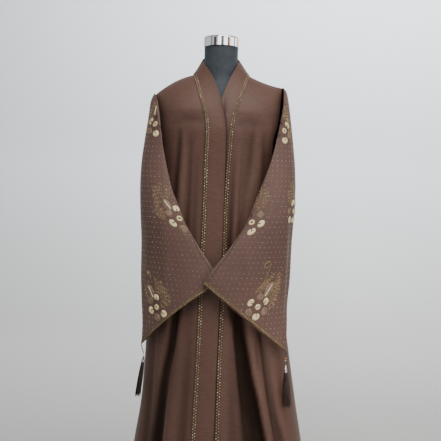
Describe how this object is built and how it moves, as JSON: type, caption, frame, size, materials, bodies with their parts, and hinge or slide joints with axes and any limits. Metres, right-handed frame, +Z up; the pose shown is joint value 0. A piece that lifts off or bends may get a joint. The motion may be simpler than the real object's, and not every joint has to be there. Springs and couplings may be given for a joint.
{
  "type": "abaya on a dress form",
  "caption": "Long open-front abaya with wide flattened sleeves crossed in front, braid-edged bands and tasselled cuffs, standing on a limbless dress form with a round base.",
  "frame": {"origin": "centre of the stand base's underside, on the floor", "axes": "+Z up; the front of the garment faces -Y; +X is the viewer's right, looking at the front"},
  "size_m": [0.577, 0.4253, 1.573],
  "materials": {
    "crepe": "matt brown crepe with a soft sheen",
    "sleeve_crepe": "matt brown crepe set with small metal studs and ribbon embroidery",
    "gold_braid": "woven gold and silver lattice braid",
    "jersey": "dark slate jersey cover",
    "chrome": "polished",
    "bead": "glossy orange beads on a cord, with silver ones",
    "silk": "dark brown-black silk strands under a silver cap",
    "embroidery": "ivory and dusty pink ribbon petals with gold thread",
    "stud": "small pressed metal studs"
  },
  "bodies": {
    "root": {"form_torso": "jersey", "neck_cap": "chrome", "stand_pole": "chrome", "stand_base": "chrome", "back_panel_left": "crepe", "back_panel_right": "crepe", "front_panel_left": "crepe", "front_panel_right": "crepe", "front_band_left": "crepe", "front_band_right": "crepe", "trim_left": "gold_braid", "trim_right": "gold_braid", "sleeve_left": "sleeve_crepe", "sleeve_right": "sleeve_crepe", "cuff_trim_left": "gold_braid", "cuff_trim_right": "gold_braid", "tassel_cord_left": "bead", "tassel_cord_right": "bead", "tassel_left": "silk", "tassel_right": "silk"}
  },
  "joints": []
}
